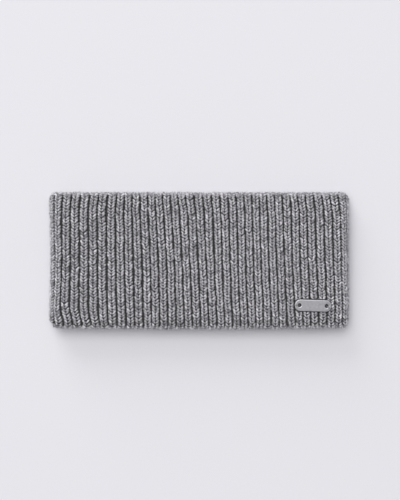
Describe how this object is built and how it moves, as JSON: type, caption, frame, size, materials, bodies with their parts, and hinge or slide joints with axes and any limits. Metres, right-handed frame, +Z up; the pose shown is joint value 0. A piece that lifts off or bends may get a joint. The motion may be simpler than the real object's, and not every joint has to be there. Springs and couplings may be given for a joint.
{
  "type": "ear warmer headband",
  "caption": "Ribbed knit ear warmer headband lying flat, a doubled closed ring with a slim metal plate sewn to one corner.",
  "frame": {"origin": "middle of the flattened band's footprint, on the surface it lies on", "axes": "+X across the flattened band from fold to fold, +Y up the band's height, +Z up from the surface to the side with the plate"},
  "size_m": [0.2346, 0.107, 0.0201],
  "materials": {
    "wool_knit": "grey marl rib knit",
    "satin_metal": "satin",
    "sewing_thread": "grey thread"
  },
  "bodies": {
    "root": {"knit_band": "wool_knit", "metal_plate": "satin_metal", "plate_thread_left": "sewing_thread", "plate_thread_right": "sewing_thread"}
  },
  "joints": []
}
